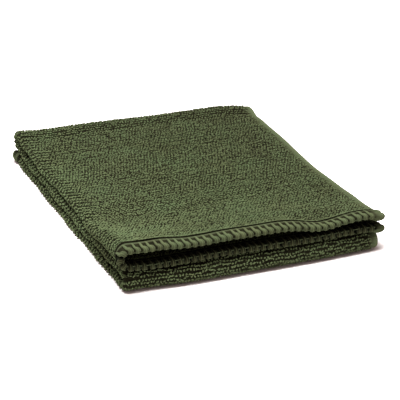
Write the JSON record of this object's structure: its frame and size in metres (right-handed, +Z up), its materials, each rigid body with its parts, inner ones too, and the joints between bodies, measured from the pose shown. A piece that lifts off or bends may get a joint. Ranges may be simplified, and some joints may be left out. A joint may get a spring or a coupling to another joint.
{
  "type": "bath towel",
  "caption": "Thick terry bath towel, folded lengthwise and then back and forth into a flat pad with its overcast hems at the front edge.",
  "frame": {"origin": "on the surface that the towel lies on, under the middle of the folded towel", "axes": "+Z up. -X is the long fold, +X the selvedges. -Y is the front, where the top panel's hems show. +Y is the back fold."},
  "size_m": [0.3644, 0.4688, 0.0656],
  "materials": {
    "terry": "dark olive green cotton terry, matt"
  },
  "bodies": {
    "root": {"towel": "terry"}
  },
  "joints": []
}
